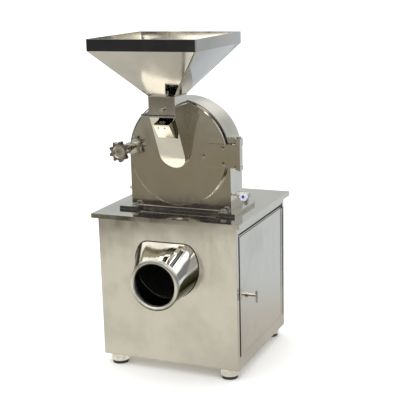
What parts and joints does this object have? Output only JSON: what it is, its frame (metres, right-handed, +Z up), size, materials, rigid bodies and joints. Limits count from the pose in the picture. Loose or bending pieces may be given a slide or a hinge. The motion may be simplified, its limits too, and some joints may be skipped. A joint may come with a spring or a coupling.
{
  "type": "hammer mill",
  "caption": "Stainless hammer mill on a cabinet: square hopper and chute on a hinged round chamber door, swinging hammers, sieve, belt drive and a round outlet spout.",
  "frame": {"origin": "middle of the machine's box in plan, on the floor under the feet", "axes": "+Z up; the front, with the outlet spout and the hopper's overhang, faces -Y; the side door is on +X"},
  "size_m": [0.6133, 0.708, 1.25],
  "materials": {
    "stainless": "mirror polished stainless sheet",
    "machined_steel": "machined, dull",
    "cast_iron": "cast, lightly oiled",
    "black_rubber": "matte",
    "motor_paint": "satin paint",
    "tap_handle_plastic": "pale with a blue centre"
  },
  "bodies": {
    "frame": {"base_pan": "stainless", "front_panel": "stainless", "rear_panel": "stainless", "left_panel": "stainless", "side_frame": "stainless", "side_hinge_leaf": "stainless", "side_hinge_pin": "machined_steel", "table_top": "stainless", "foot_front_left": "machined_steel", "foot_front_right": "machined_steel", "foot_rear_left": "machined_steel", "foot_rear_right": "machined_steel", "cable_gland": "black_rubber", "inner_duct": "stainless", "outlet_duct": "stainless", "base_flange": "stainless", "flange_bolt_1": "machined_steel", "flange_bolt_2": "machined_steel", "flange_bolt_3": "machined_steel", "flange_bolt_4": "machined_steel", "chamber_housing": "stainless", "chamber_liner": "machined_steel", "sieve_screen": "machined_steel", "hinge_bracket": "stainless", "hinge_pin": "machined_steel", "tap_body": "stainless", "water_nipple": "stainless", "bearing_housing": "cast_iron", "bearing_front": "machined_steel", "bearing_rear": "machined_steel", "belt_guard": "stainless", "v_belt": "black_rubber", "motor_body": "motor_paint", "motor_plate": "machined_steel"},
    "side_door": {"service_door": "stainless"},
    "latch": {"latch_handle": "stainless", "latch_tongue": "machined_steel"},
    "tap_wheel": {"tap_handle": "tap_handle_plastic"},
    "rotor": {"rotor_shaft": "machined_steel", "rotor_disc": "machined_steel", "driven_pulley": "cast_iron"},
    "hammer_a": {"hammer_1": "machined_steel"},
    "hammer_b": {"hammer_2": "machined_steel"},
    "hammer_c": {"hammer_3": "machined_steel"},
    "hammer_d": {"hammer_4": "machined_steel"},
    "motor_spindle": {"motor_rotor": "machined_steel", "motor_pulley": "cast_iron"},
    "chamber_door": {"door_panel": "stainless", "door_gasket": "black_rubber", "door_hinge_plate": "stainless", "feed_chute": "stainless", "air_scoop": "stainless", "feed_neck": "stainless", "hopper": "stainless"},
    "gate": {"gate_plate": "stainless"},
    "neck_clamp": {"neck_screw": "stainless"},
    "clamp_collar": {"clamp_washer": "stainless"},
    "clamp_spindle": {"clamp_screw": "machined_steel", "star_knob": "cast_iron"}
  },
  "joints": [
    {"name": "chamber_door_swing", "type": "hinge", "parent": "frame", "child": "chamber_door", "pos_m": [0.242, -0.095, 0.818], "axis": [0, 0, 1], "range_deg": [0, 110]},
    {"name": "clamp_feed", "type": "slide", "parent": "chamber_door", "child": "clamp_collar", "axis": [0, 1, 0], "range_m": [0, 0.0121]},
    {"name": "clamp_turn", "type": "hinge", "parent": "clamp_collar", "child": "clamp_spindle", "pos_m": [-0.202, -0.129, 0.829], "axis": [0, 1, 0], "range_deg": [0, 1080]},
    {"name": "gate_slide", "type": "slide", "parent": "chamber_door", "child": "gate", "axis": [-1, 0, 0], "range_m": [0, 0.088]},
    {"name": "neck_screw_turn", "type": "hinge", "parent": "chamber_door", "child": "neck_clamp", "pos_m": [-0.003, -0.204, 0.994], "axis": [0, 1, 0], "range_deg": [-180, 0]},
    {"name": "rotor_spin", "type": "hinge", "parent": "frame", "child": "rotor", "pos_m": [0.0005, 0.071, 0.818], "axis": [0, 1, 0], "continuous": true},
    {"name": "hammer_a_swing", "type": "hinge", "parent": "rotor", "child": "hammer_a", "pos_m": [0.06768, -0.0185, 0.88518], "axis": [0, -1, 0], "range_deg": [-10, 280]},
    {"name": "hammer_b_swing", "type": "hinge", "parent": "rotor", "child": "hammer_b", "pos_m": [-0.06668, -0.0185, 0.88518], "axis": [0, -1, 0], "range_deg": [-280, 10]},
    {"name": "hammer_c_swing", "type": "hinge", "parent": "rotor", "child": "hammer_c", "pos_m": [-0.06668, -0.0185, 0.75082], "axis": [0, -1, 0], "range_deg": [-190, 100]},
    {"name": "hammer_d_swing", "type": "hinge", "parent": "rotor", "child": "hammer_d", "pos_m": [0.06768, -0.0185, 0.75082], "axis": [0, -1, 0], "range_deg": [-100, 190]},
    {"name": "motor_spin", "type": "hinge", "parent": "frame", "child": "motor_spindle", "pos_m": [0.0005, 0.071, 0.165], "axis": [0, 1, 0], "continuous": true},
    {"name": "side_door_swing", "type": "hinge", "parent": "frame", "child": "side_door", "pos_m": [0.2665, 0.316, 0.318], "axis": [0, 0, 1], "range_deg": [0, 110]},
    {"name": "latch_turn", "type": "hinge", "parent": "side_door", "child": "latch", "pos_m": [0.264, -0.092, 0.306], "axis": [-1, 0, 0], "range_deg": [0, 90]},
    {"name": "tap_turn", "type": "hinge", "parent": "frame", "child": "tap_wheel", "pos_m": [0.257, -0.097, 0.676], "axis": [0, 1, 0], "range_deg": [-90, 0]}
  ],
  "couplings": [
    {"joint": "clamp_feed", "follows": "clamp_turn", "m_per_rad": 0.00063662},
    {"joint": "motor_spin", "follows": "rotor_spin", "ratio": 0.625}
  ]
}
